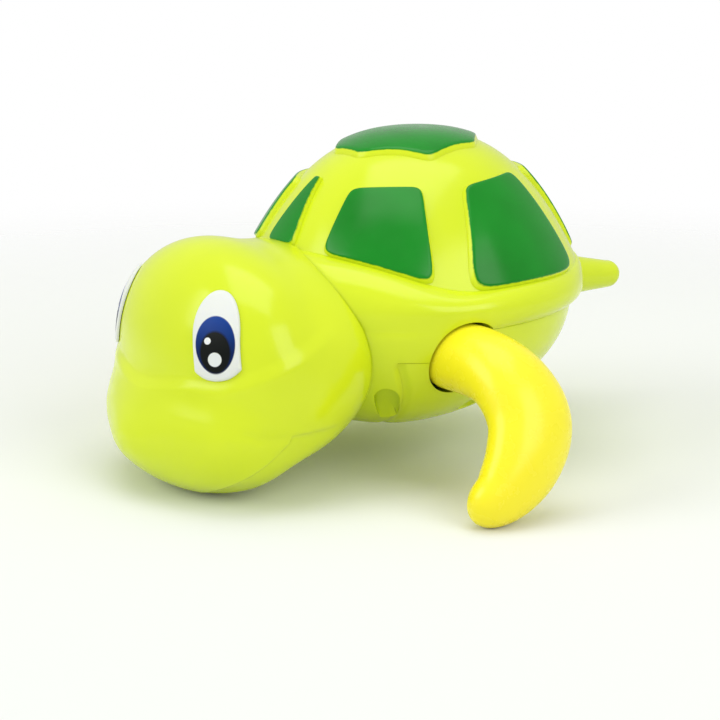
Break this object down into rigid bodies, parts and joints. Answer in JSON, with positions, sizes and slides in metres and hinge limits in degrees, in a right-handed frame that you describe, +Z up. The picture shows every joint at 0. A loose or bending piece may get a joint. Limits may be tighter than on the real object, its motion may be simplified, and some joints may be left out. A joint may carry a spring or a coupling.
{
  "type": "wind-up bath toy",
  "caption": "Swimming sea turtle bath toy with a domed shell, big round head and curved paddle flippers that a clockwork motor turns on one cross axle.",
  "frame": {"origin": "on the ground under the middle of the toy's box", "axes": "+Z up, +Y from the nose to the tail, +X towards the toy's left flipper"},
  "size_m": [0.12, 0.1299, 0.07],
  "materials": {
    "lime_plastic": "glossy moulded ABS, scutes painted dark green",
    "eye_plastic": "glossy white plate with printed blue iris and black pupil",
    "yellow_plastic": "semi-gloss moulded plastic",
    "case_plastic": "satin moulded plastic",
    "gear_plastic": "natural acetal",
    "steel": "bright zinc-plated",
    "spring_steel": "blued strip",
    "brass": "turned"
  },
  "bodies": {
    "shell": {"upper_shell": "lime_plastic", "belly_shell": "lime_plastic", "head_shell": "lime_plastic", "eye_left": "eye_plastic", "eye_right": "eye_plastic", "motor_base": "case_plastic", "motor_cover": "case_plastic", "motor_screw_1": "steel", "motor_screw_2": "steel", "motor_screw_3": "steel", "motor_screw_4": "steel", "mount_screw_1": "steel", "mount_screw_2": "steel", "belly_screw_1": "steel", "belly_screw_2": "steel", "belly_screw_3": "steel", "belly_screw_4": "steel", "head_screw_1": "steel", "head_screw_2": "steel", "mainspring": "spring_steel", "axle_bush_left": "brass", "axle_bush_right": "brass"},
    "flipper_drive": {"flipper_axle": "steel", "flipper_left": "yellow_plastic", "flipper_right": "yellow_plastic", "axle_pinion": "gear_plastic", "governor_wheel": "gear_plastic"},
    "spring_drive": {"spring_arbor": "steel", "spring_wheel": "gear_plastic"},
    "governor": {"governor_shaft": "steel", "governor_pinion": "gear_plastic", "governor_fan": "brass"}
  },
  "joints": [
    {"name": "flipper_spin", "type": "hinge", "parent": "shell", "child": "flipper_drive", "pos_m": [0, -0.0065, 0.0275], "axis": [1, 0, 0], "continuous": true},
    {"name": "spring_turn", "type": "hinge", "parent": "shell", "child": "spring_drive", "pos_m": [0, 0.01026, 0.0355], "axis": [1, 0, 0], "continuous": true},
    {"name": "governor_turn", "type": "hinge", "parent": "shell", "child": "governor", "pos_m": [0, -0.0065, 0.03932], "axis": [1, 0, 0], "continuous": true}
  ],
  "couplings": [
    {"joint": "spring_turn", "follows": "flipper_spin", "ratio": -0.51852},
    {"joint": "governor_turn", "follows": "flipper_spin", "ratio": -2.25}
  ]
}
